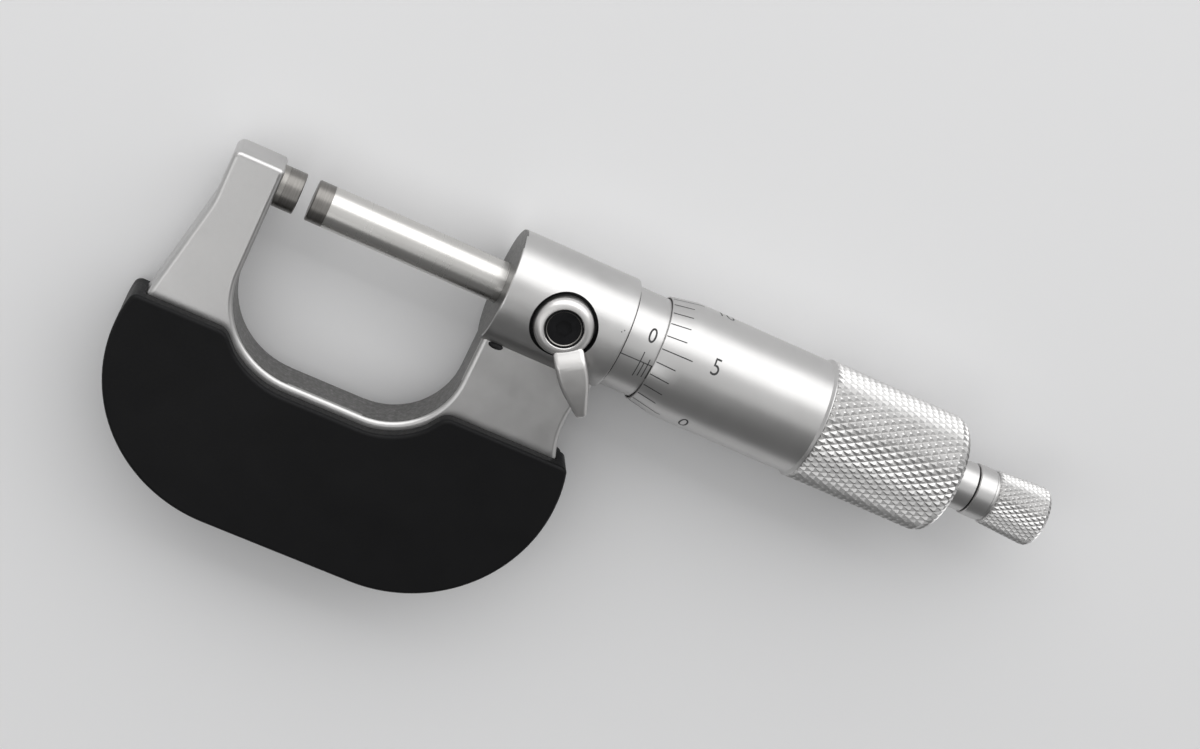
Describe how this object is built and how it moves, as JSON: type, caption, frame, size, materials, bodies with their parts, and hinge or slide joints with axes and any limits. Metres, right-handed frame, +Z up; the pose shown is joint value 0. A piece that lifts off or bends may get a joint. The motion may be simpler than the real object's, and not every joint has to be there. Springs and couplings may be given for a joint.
{
  "type": "outside micrometer",
  "caption": "Outside micrometer for 0 to 25.4 mm: U frame with grips, anvil, screw-driven spindle, lever lock, graduated sleeve and thimble, ratchet stop.",
  "frame": {"origin": "on the surface that the tool lies on, under the centre of its box", "axes": "+X along the spindle from the anvil to the ratchet, +Y across the throat away from the grips, +Z up, out of the graduated face"},
  "size_m": [0.1452, 0.0622, 0.02],
  "materials": {
    "satin_chrome": "satin",
    "ground_steel": "ground",
    "carbide": "lapped",
    "grip_plastic": "matt black",
    "black_oxide": "blackened, glossy",
    "brass": "turned"
  },
  "bodies": {
    "frame": {"frame": "satin_chrome", "front_cover": "grip_plastic", "rear_cover": "grip_plastic", "anvil": "ground_steel", "anvil_tip": "carbide", "inner_sleeve": "ground_steel", "sleeve": "satin_chrome", "adjusting_nut": "ground_steel", "lock_washer": "ground_steel", "lock_slug": "brass"},
    "spindle": {"spindle": "ground_steel", "spindle_tip": "carbide"},
    "thimble": {"thimble": "satin_chrome", "ratchet_base": "satin_chrome"},
    "ratchet_knob": {"ratchet_knob": "satin_chrome", "ratchet_ring": "ground_steel", "ratchet_spring": "ground_steel", "ratchet_screw": "ground_steel"},
    "lock_lever": {"lock_lever": "satin_chrome", "lock_screw": "black_oxide"}
  },
  "joints": [
    {"name": "spindle_travel", "type": "slide", "parent": "frame", "child": "spindle", "axis": [0.9999, 0, 0.0152], "range_m": [-0.00198, 0.0234]},
    {"name": "thimble_turn", "type": "hinge", "parent": "spindle", "child": "thimble", "pos_m": [0.0028, 0.02134, 0.00937], "axis": [0.9999, 0, 0.0152], "range_deg": [-1125, 13295]},
    {"name": "ratchet_turn", "type": "hinge", "parent": "thimble", "child": "ratchet_knob", "pos_m": [0.05964, 0.02134, 0.01024], "axis": [0.9999, 0, 0.0152], "continuous": true},
    {"name": "lock_turn", "type": "hinge", "parent": "frame", "child": "lock_lever", "pos_m": [-0.0122, 0.02112, 0.01554], "axis": [-0.0152, -0.0354, 0.9993], "range_deg": [-45, 0]}
  ],
  "couplings": [
    {"joint": "thimble_turn", "follows": "spindle_travel", "rad_per_m": 9894.8}
  ]
}
